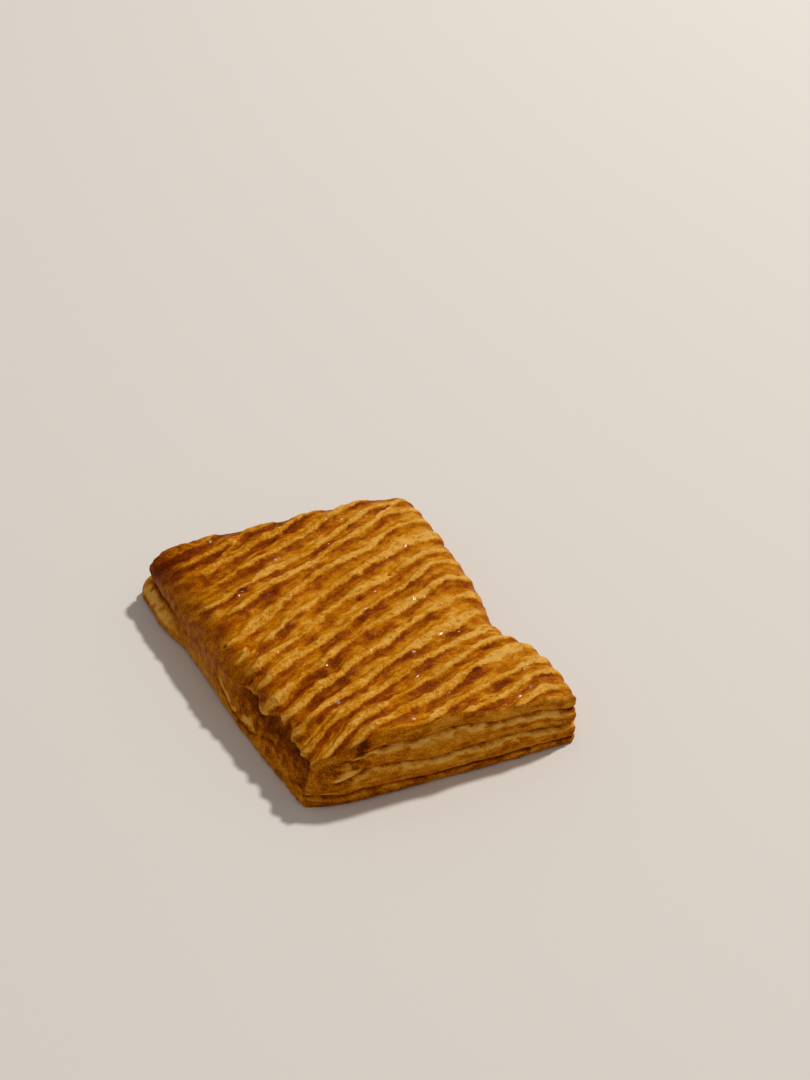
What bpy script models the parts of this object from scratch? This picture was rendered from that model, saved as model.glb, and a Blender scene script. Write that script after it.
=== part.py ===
"""Gata: a rectangular slab of layered flaky pastry with a combed, egg-washed crust.

The slab lies flat. X runs across it, Y from the cut front end to the back, Z up.
The crust rolls over the left side, overhangs it near the front, and both ends are cut
through the layers. All sizes below are in millimetres.
"""

import math

import bmesh
import bpy
import numpy as np

MM = 0.001

# Driving sizes of the slab.
LENGTH = 168.0
HALF_LENGTH = LENGTH / 2
FRONT_Y = -HALF_LENGTH
BACK_Y = HALF_LENGTH
HALF_WIDTH = 61.0
THICKNESS = 28.0

# Each long side in plan: (y, x) from the front to the back. The right side has a waist.
LEFT_SIDE = ((-84, -56), (-66, -57.5), (-42, -59.5), (-12, -61), (20, -62), (52, -63.5), (84, -63.5))
RIGHT_SIDE = (
    (-84, 62), (-62, 65), (-46, 64.3), (-29, 56), (-12, 60), (14, 64.3), (50, 67.3), (84, 69.3),
)

# Each end in plan: how far back it lies from the straight line, as (x, dy), and its lean at the top.
FRONT_END = ((-58, 8.5), (-45, 4.0), (-20, 1.8), (0, 1), (30, -0.4), (60, -0.8))
BACK_END = ((-66, 0), (-30, 1), (10, 0.6), (28, 0.6), (50, 2.6), (66, 2.4))
END_LEAN = 2.0

# Height of the crust along the front cut, as (x, z), and how it settles further back.
FRONT_HEIGHT = ((-58, 20), (-44, 24.5), (-33, 29.5), (-8, 30), (30, 27.3), (60, 25.2))
FRONT_RISE_LENGTH = 40.0
SIDE_SETTLING = 2.5
SIDE_SETTLING_WIDTH = 60.0
BACK_HEIGHT = 26.5
BACK_FALL_LENGTH = 60.0
WAIST_Y = -29.0
WAIST_LENGTH = 16.0
WAIST_FROM_X = 20.0
WAIST_TO_X = 58.0
WAIST_SETTLING = 2.5

# Slow swelling of the whole crust.
SWELL = 0.45
SWELL_LENGTH = 34.0
SWELL_SEED = 5
BACK_SETTLING_SHARE = 0.6

# Rounding of the crust's edges: how wide and how deep the roll is on each side.
LEFT_ROLL = (12.0, 11.0)
RIGHT_ROLL = (8.0, 8.0)
BACK_ROLL = (7.0, 7.0)
FRONT_ROLL = (1.8, 1.8)
BOTTOM_ROLL = 1.4
FOOT_ROLL = 4.0
FOOT_SHARE = 0.5
BLEND_LENGTH = 12.0
FRONT_BLEND_LENGTH = 5.0
FRONT_BLEND_WEIGHT = 3.0

# The left side leans inwards towards the crust, in the front half.
LEFT_LEAN = 4.0
LEFT_LEAN_FROM_Y = -6.0
LEFT_LEAN_TO_Y = -32.0

# Combed ridges: the y of each ridge where it crosses these lines of constant x.
RIDGE_STATIONS = (-50.0, -25.0, 0.0, 25.0, 50.0)
RIDGES = (
    (-116, -110, -103, -95, -86),
    (-107, -101, -94, -86, -76.5),
    (-98, -92, -85, -76.8, -67.6),
    (-91, -84, -77.5, -67.8, -59.2),
    (-84, -75, -66, -57, -47.3),
    (-78, -67, -56.8, -48.8, -37),
    (-68.5, -58, -47, -38.3, -30),
    (-58.2, -48.5, -38.4, -27.5, -19.5),
    (-49, -38.7, -26.5, -15.2, -6),
    (-38.5, -26, -14.5, -4.4, 7),
    (-26, -15.8, -5, 6.9, 19.4),
    (-17.5, -6, 8.3, 18, 29.6),
    (-9, 5.4, 19, 30, 42.6),
    (3, 17.6, 31.6, 40.6, 55.6),
    (18, 30.7, 40.8, 54.5, 66),
    (28.7, 39.9, 48.2, 62, 76),
    (40.5, 51, 61.4, 74.5, 87),
    (51.8, 61.5, 73, 86, 98),
    (62.2, 72.6, 84, 97, 109),
    (73, 84, 95, 108, 120),
)

# The hollow between two ridges: its depth, the flat top that it leaves to each ridge, and where it
# is deepest, all but the depth as shares of the way from one ridge back to the next.
HOLLOW_DEPTH = 1.5
RIDGE_TOP = 0.04
DEEPEST = (0.5, 0.66)

# Cracks between the layers on the cut ends, as shares of the height, lowest first. Each then
# follows its own line of (x, share of the height).
CRACKS = (0.13, 0.42, 0.77)
CRACK_LINES = (
    ((-60, 0.3), (-47, 0.22), (-25, 0.17), (0, 0.12), (26, 0.13), (60, 0.12)),
    ((-60, 0.45), (-18, 0.46), (-8, 0.4), (16, 0.415), (26, 0.475), (41, 0.45), (61, 0.36)),
    ((-60, 0.74), (-19, 0.76), (20, 0.775), (46, 0.755), (61, 0.66)),
)
CRACK_DEPTH = (0.7, 1.5, 1.3)
CRACK_HALF = 0.035
LAYER_BULGE = 0.7
LAYERS_FADE_X = (-46.0, -36.0)
LAYERS_FADE_Y = (-40.0, -78.0)
LAYERS_BEHIND = 0.35

# The crust overhangs the left side in front of this line, in one lobe for each ridge.
# The lip's lower edge is given as (y, share of the height).
LIP_Y = -12.0
LIP_FADE = 12.0
LIP_SHARE = ((-84, 0.86), (-62, 0.82), (-46, 0.83), (-35, 0.7), (-22, 0.72), (-8, 0.64))
LIP_EDGE = 0.05
LIP_RECESS = 2.8
RECESS_GROWTH = 1.4
RECESS_AT_FRONT = 0.4
RECESS_FULL_FROM_Y = -66.0
LOBE_REACH = 1.2
LOBE_BASE = 0.6
LOBE_ABOVE_LIP = 0.07
LOBE_HALF = 0.1

# The lowest sheet stands out at the back of the left side.
SHEET_TOP_SHARE = 0.4
SHEET_EDGE_SHARE = 0.16
SHEET_REACH = 3.0
SHEET_FROM_Y = 34.0
SHEET_TO_Y = 56.0
SHEET_FADE_X = (-20.0, -50.0)
SHEET_BEHIND = 0.5
SHELF_SHARE = 0.45
SHELF_HALF = 0.1
SHELF_DEPTH = 2.2

# A point's normal decides how much it belongs to the crust and how much to a side.
CRUST_FACING = (0.15, 0.75)
SIDE_FACING = (0.35, 0.9)
SPLIT_FACING = 0.5
TINY = 1e-6
OVER_BASE = 0.05

# Mesh cells across, along and up the slab, and the heights of the levels.
COLUMNS = 28
ROWS = 82
LEVELS = (0.0, 0.06, 0.13, 0.2, 0.3, 0.36, 0.42, 0.48, 0.6, 0.7, 0.77, 0.84, 1.0)
CROWDING = 0.4

CRUST_COLOUR = (0.48, 0.2, 0.03, 1.0)
CRUST_ROUGHNESS = 0.45


def curve_through(stations, at):
    """Values at the given places of a smooth curve through (place, value) pairs."""
    places, values = np.array(stations, float).T
    slopes = np.gradient(values, places)
    at = np.clip(at, places[0], places[-1])
    left = np.clip(np.searchsorted(places, at) - 1, 0, len(places) - 2)
    span = places[left + 1] - places[left]
    t = (at - places[left]) / span
    rise = values[left + 1] - values[left]
    bend_in = slopes[left] * span - rise
    bend_out = rise - slopes[left + 1] * span
    return values[left] + t * rise + t * (1 - t) * ((1 - t) * bend_in + t * bend_out)


def ease(start, end, value):
    """A smooth step from 0 at start to 1 at end."""
    t = np.clip((value - start) / (end - start), 0.0, 1.0)
    return t * t * (3 - 2 * t)


def waves(x, y, length, seed, count=14):
    """An uneven field of about unit height, whose bumps are about `length` apart."""
    rng = np.random.default_rng(seed)
    total = np.zeros_like(x)
    for _ in range(count):
        angle, phase = rng.uniform(0, 2 * math.pi, 2)
        turn = 2 * math.pi / (length * rng.uniform(0.75, 1.5))
        total += np.cos(turn * (x * math.cos(angle) + y * math.sin(angle)) + phase)
    return total / math.sqrt(count / 2)


def box_cells():
    """A box cut into cells: x and y from -1 to 1, z at the levels, with one face inside the base."""
    bm = bmesh.new()
    bmesh.ops.create_cube(bm, size=2.0)
    for axis, cells in enumerate((COLUMNS, ROWS, len(LEVELS) - 1)):
        along = [e for e in bm.edges if abs(e.verts[0].co[axis] - e.verts[1].co[axis]) > 1]
        bmesh.ops.subdivide_edges(bm, edges=along, cuts=cells - 1, use_grid_fill=True)
    inside = {v for v in bm.verts if v.co.z < -1 + TINY and max(abs(v.co.x), abs(v.co.y)) < 1 - TINY}
    base = [f for f in bm.faces if inside.issuperset(f.verts)]
    bmesh.ops.dissolve_faces(bm, faces=base, use_verts=True)
    for vert in bm.verts:
        level = (vert.co.z + 1) / 2 * (len(LEVELS) - 1)
        vert.co.z = np.interp(level, range(len(LEVELS)), LEVELS)
    return bm


def coordinates(bm):
    return np.array([v.co[:] for v in bm.verts])


def set_coordinates(bm, points):
    for vert, point in zip(bm.verts, points):
        vert.co = point
    bm.normal_update()


def top_height(x, y):
    """Height of the crust before its edges are rounded."""
    settled = SIDE_SETTLING * np.abs(x / SIDE_SETTLING_WIDTH) ** 3
    middle = THICKNESS - settled
    front = curve_through(FRONT_HEIGHT, x)
    back = BACK_HEIGHT - BACK_SETTLING_SHARE * settled
    height = middle + (front - middle) * (1 - ease(FRONT_Y, FRONT_Y + FRONT_RISE_LENGTH, y))
    height += (back - middle) * ease(BACK_Y - BACK_FALL_LENGTH, BACK_Y, y)
    beside_waist = np.exp(-(((y - WAIST_Y) / WAIST_LENGTH) ** 2))
    height -= WAIST_SETTLING * beside_waist * ease(WAIST_FROM_X, WAIST_TO_X, x)
    return height + SWELL * waves(x, y, SWELL_LENGTH, seed=SWELL_SEED)


def split_rounding(place, low, high):
    """Splits places from -1 to 1 into the flat part and the turn, -1 to 1, within the rounded edges."""
    flat = np.clip(place, -1 + low, 1 - high)
    beyond = place - flat
    return flat, np.where(beyond < 0, beyond / low, beyond / high)


def roll_depth(across, along):
    """How deep the crust's edge rolls at each place, as a share of the thickness."""
    weights = (
        np.exp(-(across + 1) * HALF_WIDTH / BLEND_LENGTH),
        np.exp((across - 1) * HALF_WIDTH / BLEND_LENGTH),
        np.exp((along - 1) * HALF_LENGTH / BLEND_LENGTH),
        FRONT_BLEND_WEIGHT * np.exp(-(along + 1) * HALF_LENGTH / FRONT_BLEND_LENGTH),
    )
    depths = (LEFT_ROLL[1], RIGHT_ROLL[1], BACK_ROLL[1], FRONT_ROLL[1])
    return sum(weight * depth for weight, depth in zip(weights, depths)) / sum(weights) / THICKNESS


def smooth_form(cell):
    """Places the box's points on the slab with rounded edges, before any relief."""
    crowded = (1 - CROWDING) * cell[:, :2] + CROWDING * np.sin(cell[:, :2] * math.pi / 2)
    across, along = crowded.T
    above_foot = ease(0, FOOT_SHARE, cell[:, 2])
    left_roll, right_roll, back_roll = (
        FOOT_ROLL + above_foot * (roll[0] - FOOT_ROLL) for roll in (LEFT_ROLL, RIGHT_ROLL, BACK_ROLL)
    )
    left_roll, right_roll = left_roll / HALF_WIDTH, right_roll / HALF_WIDTH
    front_roll, back_roll = FRONT_ROLL[0] / HALF_LENGTH, back_roll / HALF_LENGTH
    bottom_roll, top_roll = 2 * BOTTOM_ROLL / THICKNESS, 2 * roll_depth(across, along)

    flat_x, turn_x = split_rounding(across, left_roll, right_roll)
    flat_y, turn_y = split_rounding(along, front_roll, back_roll)
    flat_z, turn_z = split_rounding(2 * cell[:, 2] - 1, bottom_roll, top_roll)
    reach = np.maximum(np.sqrt(turn_x**2 + turn_y**2 + turn_z**2), TINY)
    across = flat_x + turn_x / reach * np.where(turn_x < 0, left_roll, right_roll)
    along = flat_y + turn_y / reach * np.where(turn_y < 0, front_roll, back_roll)
    share = (1 + flat_z + turn_z / reach * np.where(turn_z < 0, bottom_roll, top_roll)) / 2
    inside_base = (cell[:, 2] < TINY) & (np.abs(cell[:, :2]).max(axis=1) < 1 - TINY)
    share = np.where(inside_base, 0.0, share)

    y = along * HALF_LENGTH
    left, right = curve_through(LEFT_SIDE, y), curve_through(RIGHT_SIDE, y)
    left += LEFT_LEAN * share * ease(LEFT_LEAN_FROM_Y, LEFT_LEAN_TO_Y, y)
    x = left + (across + 1) / 2 * (right - left)
    y += (1 - along) / 2 * curve_through(FRONT_END, x) + (1 + along) / 2 * curve_through(BACK_END, x)
    y -= along * END_LEAN * share
    return np.stack([x, y, share * top_height(x, y)], axis=1)


def ridge_phase(x, y):
    """Counts ridges towards the back: a whole number on each ridge, a half between two."""
    lines = [curve_through(tuple(zip(RIDGE_STATIONS, row)), x) for row in RIDGES]
    return sum(np.clip((y - near) / (far - near), 0.0, 1.0) for near, far in zip(lines, lines[1:]))


def hollow_share(x, y):
    """0 on the ridges and 1 in the hollows, which fall gently behind a ridge and rise steeply to the next."""
    behind = ridge_phase(x, y) % 1.0
    return ease(RIDGE_TOP, DEEPEST[0], behind) * ease(1 - RIDGE_TOP, DEEPEST[1], behind)


def within_layers(share):
    """How far up each layer a place is, from 0 below it to 1 above it, lowest layer first."""
    edges = (0.0, *CRACKS, 1.0)
    return [np.clip((share - low) / (high - low), 0, 1) for low, high in zip(edges, edges[1:])]


def layer_relief(share):
    """The bulge of each layer and the crack between each two, on a cut end."""
    out = sum(LAYER_BULGE * 4 * within * (1 - within) for within in within_layers(share))
    for crack, deep in zip(CRACKS, CRACK_DEPTH):
        out -= deep * np.exp(-(((share - crack) / CRACK_HALF) ** 2))
    return out


def layer_rise(x, share):
    """How much higher a place of a cut end lies when the cracks follow their own lines."""
    lines = [np.zeros_like(x), *(curve_through(line, x) for line in CRACK_LINES), np.ones_like(x)]
    followed = sum(
        within * (high - low) for within, low, high in zip(within_layers(share), lines, lines[1:])
    )
    return (followed - share) * top_height(x, np.full_like(x, FRONT_Y))


def lip_relief(y, share, hollow):
    """The lobed lip of the crust over the left side, and the recess under it."""
    lip = curve_through(LIP_SHARE, y)
    above_lip = (share - lip - LOBE_ABOVE_LIP) / LOBE_HALF
    lobes = LOBE_REACH * (LOBE_BASE - hollow) * np.exp(-(above_lip**2))
    under = 1 - ease(lip - LIP_EDGE, lip, share)
    recess = LIP_RECESS * np.clip(share / lip, 0, 1) ** RECESS_GROWTH
    recess *= RECESS_AT_FRONT + (1 - RECESS_AT_FRONT) * ease(FRONT_Y, RECESS_FULL_FROM_Y, y)
    return ease(LIP_Y, LIP_Y - LIP_FADE, y) * (lobes * (1 - under) - recess * under)


def with_relief(form, normal):
    """Adds the combed ridges, the cracks between the layers, the overhang and the low sheet."""
    x, y, z = form.T
    share = z / top_height(x, y)
    hollow = hollow_share(x, y)
    level_part = np.linalg.norm(normal[:, :2], axis=1)
    sideways = normal[:, :2] / np.maximum(level_part, TINY)[:, None]
    side = ease(*SIDE_FACING, level_part) * (z > TINY)
    on_left, on_front = (np.clip(-sideways, 0, 1) ** 2 * side[:, None]).T
    on_right, on_back = (np.clip(sideways, 0, 1) ** 2 * side[:, None]).T

    crust = ease(*CRUST_FACING, normal[:, 2])
    layered = on_front * ease(*LAYERS_FADE_X, x) + on_back
    layered += on_right * (LAYERS_BEHIND + (1 - LAYERS_BEHIND) * ease(*LAYERS_FADE_Y, y))
    sheet = SHEET_REACH * ease(SHEET_TOP_SHARE, SHEET_EDGE_SHARE, share)
    sheet -= SHELF_DEPTH * np.exp(-(((share - SHELF_SHARE) / SHELF_HALF) ** 2))

    out = -HOLLOW_DEPTH * crust * hollow
    out += layered * layer_relief(share)
    out += on_left * lip_relief(y, share, hollow)
    at_corner = on_left + SHEET_BEHIND * on_back * ease(*SHEET_FADE_X, x)
    out += at_corner * sheet * ease(SHEET_FROM_Y, SHEET_TO_Y, y)

    level_way = np.column_stack([sideways, np.zeros_like(x)])
    moved = form + np.where(crust[:, None] > 0, normal, level_way) * out[:, None]
    moved[:, 2] += np.clip(layered, 0, 1) * layer_rise(x, share)
    moved[:, 2] = np.where(z > TINY, np.maximum(moved[:, 2], OVER_BASE), 0.0)
    return moved


def split_along_ridges(bm):
    """Splits the crust's cells along the diagonal that runs with the combed ridges."""
    for face in [f for f in bm.faces if len(f.verts) == 4 and f.normal.z > SPLIT_FACING]:
        a, b, c, d = face.verts
        ends = (a, c) if (a.co - c.co).x * (a.co - c.co).y > 0 else (b, d)
        bmesh.utils.face_split(face, *ends)


def crust_material():
    material = bpy.data.materials.new("baked pastry")
    material.use_nodes = True
    shader = material.node_tree.nodes["Principled BSDF"]
    shader.inputs["Base Color"].default_value = CRUST_COLOUR
    shader.inputs["Roughness"].default_value = CRUST_ROUGHNESS
    shader.inputs["Metallic"].default_value = 0.0
    return material


def build_gata():
    """Builds the slab with its base on the floor and its box centred over the origin."""
    for obj in list(bpy.data.objects):
        bpy.data.objects.remove(obj, do_unlink=True)
    collection = bpy.data.collections.new("gata")
    bpy.context.scene.collection.children.link(collection)

    bm = box_cells()
    form = smooth_form(coordinates(bm))
    set_coordinates(bm, form)
    normal = np.array([v.normal[:] for v in bm.verts])
    points = with_relief(form, normal)
    low, high = points.min(axis=0), points.max(axis=0)
    set_coordinates(bm, points - ((low + high) / 2 * (1, 1, 0) + low * (0, 0, 1)))
    split_along_ridges(bm)
    bmesh.ops.triangulate(bm, faces=bm.faces[:])
    bmesh.ops.scale(bm, vec=(MM, MM, MM), verts=bm.verts[:])

    mesh = bpy.data.meshes.new("gata")
    bm.to_mesh(mesh)
    bm.free()
    mesh.materials.append(crust_material())
    mesh.shade_smooth()
    collection.objects.link(bpy.data.objects.new("gata", mesh))


build_gata()
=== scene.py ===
import itertools
import math

import bmesh
import bpy
import numpy as np
from mathutils import Matrix, Vector


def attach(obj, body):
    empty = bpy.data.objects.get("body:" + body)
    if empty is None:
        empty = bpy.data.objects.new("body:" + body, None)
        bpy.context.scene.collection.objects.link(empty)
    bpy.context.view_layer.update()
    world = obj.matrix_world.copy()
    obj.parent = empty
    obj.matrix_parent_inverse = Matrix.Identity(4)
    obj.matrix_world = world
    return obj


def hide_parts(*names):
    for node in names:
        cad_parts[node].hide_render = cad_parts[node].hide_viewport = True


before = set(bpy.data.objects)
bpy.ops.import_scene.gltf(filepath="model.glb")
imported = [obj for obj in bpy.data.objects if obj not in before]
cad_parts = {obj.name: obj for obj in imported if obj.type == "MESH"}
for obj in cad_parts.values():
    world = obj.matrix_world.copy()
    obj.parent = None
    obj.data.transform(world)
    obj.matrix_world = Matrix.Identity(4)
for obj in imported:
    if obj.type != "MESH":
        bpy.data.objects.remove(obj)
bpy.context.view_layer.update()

MM = 0.001

# The slab, in millimetres, with the same driving sizes as its solid.
LENGTH = 168.0
HALF_LENGTH = LENGTH / 2
FRONT_Y = -HALF_LENGTH
BACK_Y = HALF_LENGTH
HALF_WIDTH = 61.0
THICKNESS = 28.0
DESIGN_CENTRE = (1.35, 0.938, 0.0)

# The sides as (y, x), and how far the ends stand in from a straight end, as (x, distance).
LEFT_SIDE = ((-84, -56), (-66, -57.5), (-42, -59.5), (-12, -61), (20, -62), (52, -63.5), (84, -63.5))
RIGHT_SIDE = (
    (-84, 62), (-62, 65), (-46, 64.3), (-29, 56), (-12, 60), (14, 64.3), (50, 67.3), (84, 69.3),
)
FRONT_END = ((-58, 8.5), (-45, 4.0), (-20, 1.8), (0, 1), (30, -0.4), (60, -0.8))
BACK_END = ((-66, 0), (-30, 1), (10, 0.6), (28, 0.6), (50, 2.6), (66, 2.4))
END_LEAN = 2.0

# The height of the front edge as (x, z), and how the crust rises and settles behind it.
FRONT_HEIGHT = ((-58, 20), (-44, 24.5), (-33, 29.5), (-8, 30), (30, 27.3), (60, 25.2))
FRONT_RISE_LENGTH = 40.0
SIDE_SETTLING = 2.5
SIDE_SETTLING_WIDTH = 60.0
BACK_HEIGHT = 26.5
BACK_FALL_LENGTH = 60.0
WAIST_Y = -29.0
WAIST_LENGTH = 16.0
WAIST_FROM_X = 20.0
WAIST_TO_X = 58.0
WAIST_SETTLING = 2.5
SWELL = 0.45
SWELL_LENGTH = 34.0
SWELL_SEED = 5
BACK_SETTLING_SHARE = 0.6

# How the edges are rounded: how far the crust rolls over, level and down.
LEFT_ROLL = (12.0, 11.0)
RIGHT_ROLL = (8.0, 8.0)
BACK_ROLL = (7.0, 7.0)
FRONT_ROLL = (1.8, 1.8)
BOTTOM_ROLL = 1.4
FOOT_ROLL = 4.0
FOOT_SHARE = 0.5
BLEND_LENGTH = 12.0
FRONT_BLEND_LENGTH = 5.0
FRONT_BLEND_WEIGHT = 3.0
LEFT_LEAN = 4.0
LEFT_LEAN_FROM_Y = -6.0
LEFT_LEAN_TO_Y = -32.0

# Combed ridges, one a row: their y where they cross these lines of constant x.
RIDGE_STATIONS = (-50.0, -25.0, 0.0, 25.0, 50.0)
RIDGES = (
    (-116, -110, -103, -95, -86),
    (-107, -101, -94, -86, -76.5),
    (-98, -92, -85, -76.8, -67.6),
    (-91, -84, -77.5, -67.8, -59.2),
    (-84, -75, -66, -57, -47.3),
    (-78, -67, -56.8, -48.8, -37),
    (-68.5, -58, -47, -38.3, -30),
    (-58.2, -48.5, -38.4, -27.5, -19.5),
    (-49, -38.7, -26.5, -15.2, -6),
    (-38.5, -26, -14.5, -4.4, 7),
    (-26, -15.8, -5, 6.9, 19.4),
    (-17.5, -6, 8.3, 18, 29.6),
    (-9, 5.4, 19, 30, 42.6),
    (3, 17.6, 31.6, 40.6, 55.6),
    (18, 30.7, 40.8, 54.5, 66),
    (28.7, 39.9, 48.2, 62, 76),
    (40.5, 51, 61.4, 74.5, 87),
    (51.8, 61.5, 73, 86, 98),
    (62.2, 72.6, 84, 97, 109),
    (73, 84, 95, 108, 120),
)
RIDGE_PITCH = 9.5
RIDGE_TURN = math.radians(27)
# Wave fields by which the ridges wander: the height in ridge distances, the length and the seed.
RIDGE_WANDER = ((0.035, 19, 31), (0.02, 6, 32))
HOLLOW_DEPTH = 1.15
# Where the slopes behind and in front of a ridge start and end, in ridge distances.
GENTLE_SLOPE = (0.08, 0.46)
STEEP_SLOPE = (0.08, 0.33)
# How much the depth of the hollows changes, how much flatter they are towards the lip, and waves.
DEPTH_CHANGE = 0.2
LIP_FLATTENING = 0.45
CRUST_WAVE = 0.24
# How far edge noise, shifts, a slipped comb and breaks narrow a ridge, in ridge distances.
EDGE_ROUGHNESS = 0.022
RIDGE_SHIFT = 0.07
SLIPPED = 0.3
BROKEN = 0.1
# Thin second lines between the ridges.
SECOND_LINE_PLACE = 0.42
SECOND_LINE_HALF = 0.05
SECOND_LINE_HEIGHT = 0.3
# Areas where the ridges are faint: how much, and where it starts and ends along x and along y.
FAINT_AREAS = ((0.16, (-44, -60), (-14, 0)), (0.09, (-48, -57), (0, -12)))

# Short extra comb marks, pale or dark, as points (x, y).
MARK_DEPTH = 0.6
PALE_MARK_HALF = 1.0
DARK_MARK_HALF = 0.7
PALE_COLOUR_HALF = 0.8
DARK_COLOUR_HALF = 0.6
PALE_MARKS = (
    ((33, -53.4), (43, -52.9)),
    ((44, -50), (55, -49)),
    ((44, 65), (50, 70.5), (55, 73), (60, 76.4)),
    ((-59, -13), (-52.4, -7.7), (-50, -4)),
    ((-34, 63.6), (-25, 70)),
    ((-2.4, 37.2), (7, 41.3)),
    ((32, -44), (42, -40), (52, -38)),
    ((34, -36), (44, -33.5), (54, -33)),
)
DARK_MARKS = (
    ((4, 48), (14, 52), (23, 55.5), (31, 61), (39, 65.5), (48, 70.5), (53, 74)),
    ((30, -47), (40, -43.5), (50, -41.5)),
    ((36, -40), (46, -36.8), (55, -36)),
    ((-34, -83.6), (-31.5, -80)),
)
# Burst blisters with pale rims, as (x, y, radius).
BLISTERS = (
    (-37, 17.7, 2.0), (27, 18.5, 1.8), (-18, 8, 1.6), (-29, -5, 1.5), (39, -23, 2.2), (-16.5, -63.5, 2.0),
    (29, -74.5, 1.8), (-56.5, 3, 2.0), (-2, -76, 2.4), (-55, -21, 1.8), (27, -73, 2.2),
)
# Places where the egg wash is thick and shines, as (x, y, half length, half width).
GLOSS_SPOTS = (
    (-9, -75, 4, 1.6), (10, -77.3, 5, 1.4), (-25, -74.5, 3.5, 1.4), (38, -76, 3, 1.4), (49, -73.5, 5, 1.4),
    (-7.5, -1.5, 2, 1.2), (28, -2, 2, 1.2), (22, -27.5, 2, 1.2), (16, 9.5, 2, 1.2), (-4, -27, 2, 1.2),
    (-33, 63.5, 3, 1.5), (-58, -40, 1.5, 1.5), (-52, -18, 2, 1.2), (35, -70, 3, 1.2), (5, -50, 2.5, 1.2),
    (40, 5, 2, 1.2), (-20, 20, 2, 1.2), (10, 30, 2, 1.2), (50, -52, 2.5, 1.2), (-40, 30, 2, 1.2),
)
# Dark patches in the hollows, as (x, y, size).
DARK_PATCHES = (
    (-26, 24, 4), (-32, 53, 4), (23, -22, 4), (28, -33, 4), (15, -37, 4), (7, -50, 4), (-14, -58, 4),
    (0, -72, 3),
)
# Smooth amber patches where the comb slipped, as (x, y, half length, half width).
SMOOTH_PATCHES = ((-45, -4, 6, 4.5), (-34.5, -2.5, 2.5, 2))

# Cracks between the layers on the cut ends, and the lines of (x, share of the height) they follow.
CRACKS = (0.13, 0.42, 0.77)
CRACK_LINES = (
    ((-60, 0.3), (-47, 0.22), (-25, 0.17), (0, 0.12), (26, 0.13), (60, 0.12)),
    ((-60, 0.45), (-18, 0.46), (-8, 0.4), (16, 0.415), (26, 0.475), (41, 0.45), (61, 0.36)),
    ((-60, 0.74), (-19, 0.76), (20, 0.775), (46, 0.755), (61, 0.66)),
)
CRACK_DEPTH = (0.9, 1.9, 1.6)
CRACK_HALF = 0.02
DARK_CRACK_HALF = 0.016
CRACK_WANDER = 0.006
LAYER_BULGE = 0.7
# How flaky the tops of the layers under the cracks are.
FLAKY_LAYERS = (0.5, 1.0, 1.0)

# The lip of the crust over the left side, with its edge as (y, share), and the recess under it.
LIP_Y = -12.0
LIP_FADE = 12.0
LIP_SHARE = (
    (-84, 0.88), (-77, 0.84), (-70, 0.86), (-62, 0.78), (-56, 0.84), (-46, 0.85), (-40, 0.76), (-34, 0.68),
    (-29, 0.78), (-20, 0.7), (-8, 0.64),
)
LIP_RECESS = 2.8
RECESS_POWER = 1.4
LIP_SCALLOP = 0.05
LIP_RAGGEDNESS = 0.01
LIP_UNDERCUT = 0.035
LIP_EDGE_ABOVE = 0.012
LIP_EDGE_HALF = 0.02
LOBE_REACH = 0.35
LOBE_ABOVE = 0.09
LOBE_HALF = 0.1

# The edge of a thin sheet on the left side, as (y, z), and how far it stands out.
SHEET_LINE = (
    (-52, 11), (-44, 9.5), (-39, 7.2), (-32, 5), (-25, 3.2), (-18, 3), (-12, 4.3), (-6, 7.5), (0, 10),
)
THIN_SHEET = 0.5
# The curl at the left of the front cut: its middle, half width and half height, as (x, z).
CURL_MIDDLE = (-40.5, 15.0)
CURL_HALF = (9.5, 5.0)
CURL_BULGE = 1.1
CURL_SLANT = 0.25
CURL_EDGE_HALF = 0.16
CURL_EDGE_DEPTH = 0.5
CURL_FOLD = 0.35
CURL_FOLD_HALF = 0.12
CURL_FOLD_DEPTH = 0.4
# The cream spot in the curl, in shares of the curl's half width and half height.
CREAM_MIDDLE = (0.1, -0.15)
CREAM_HALF = (0.5, 0.42)
CREAM_SLANT = 0.4
# Egg wash that ran down over the front edge: its lowest place, as (x, z), and its half width.
DRIP_END = (-33.5, 21.0)
DRIP_HALF = 2.5
DRIP_SLANT = 0.15
DRIP_FADE = 3.0

# The low sheet at the foot of the back-left corner, and the slot over it.
SHEET_TOP_SHARE = 0.34
SHEET_EDGE_SHARE = 0.15
SHEET_REACH = 3.0
SHEET_FROM_Y = 34.0
SHEET_TO_Y = 56.0
SLOT_SHARE = 0.42
SLOT_DEPTH = 2.6
SLOT_HALF = 0.1
DARK_SLOT_HALF = 0.07

# The level part of the normal that makes a place a side, and the upright part that makes it crust.
SIDE_TILT = (0.35, 0.9)
CRUST_TILT = (0.15, 0.75)
LOWEST_RELIEF = 0.05

# Heights of the fine relief on the crust, in millimetres.
RIM_HEIGHT = 0.4
HOLE_DEPTH = 0.8
PIT_DEPTH = 0.4
DOME_HEIGHT = 0.15
WRINKLE_HEIGHT = 0.1
RIDGE_ROUGHNESS = 0.17
DIMPLE_HEIGHT = 0.12
DROP_HEIGHT = 0.9

# Heights of the fine relief on the sides and cut ends, in millimetres.
LEAF_HEIGHT = 0.16
FLAKE_HEIGHT = 0.75
WALL_ROUGHNESS = 0.14
RECESS_ROUGHNESS = 0.2
CORNER_ROUGHNESS = 0.55
CORNER_WEAR = 0.5
FOLD_HEIGHT = 0.28

# How brown each part is baked, from 0, pale, to 1, darkest.
HOLLOW_BAKE = 0.52
RIDGE_BAKE = 0.1
ROLL_BAKE = 0.54
END_BAKE = 0.5
DARKEST_PHASE = 0.74
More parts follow.
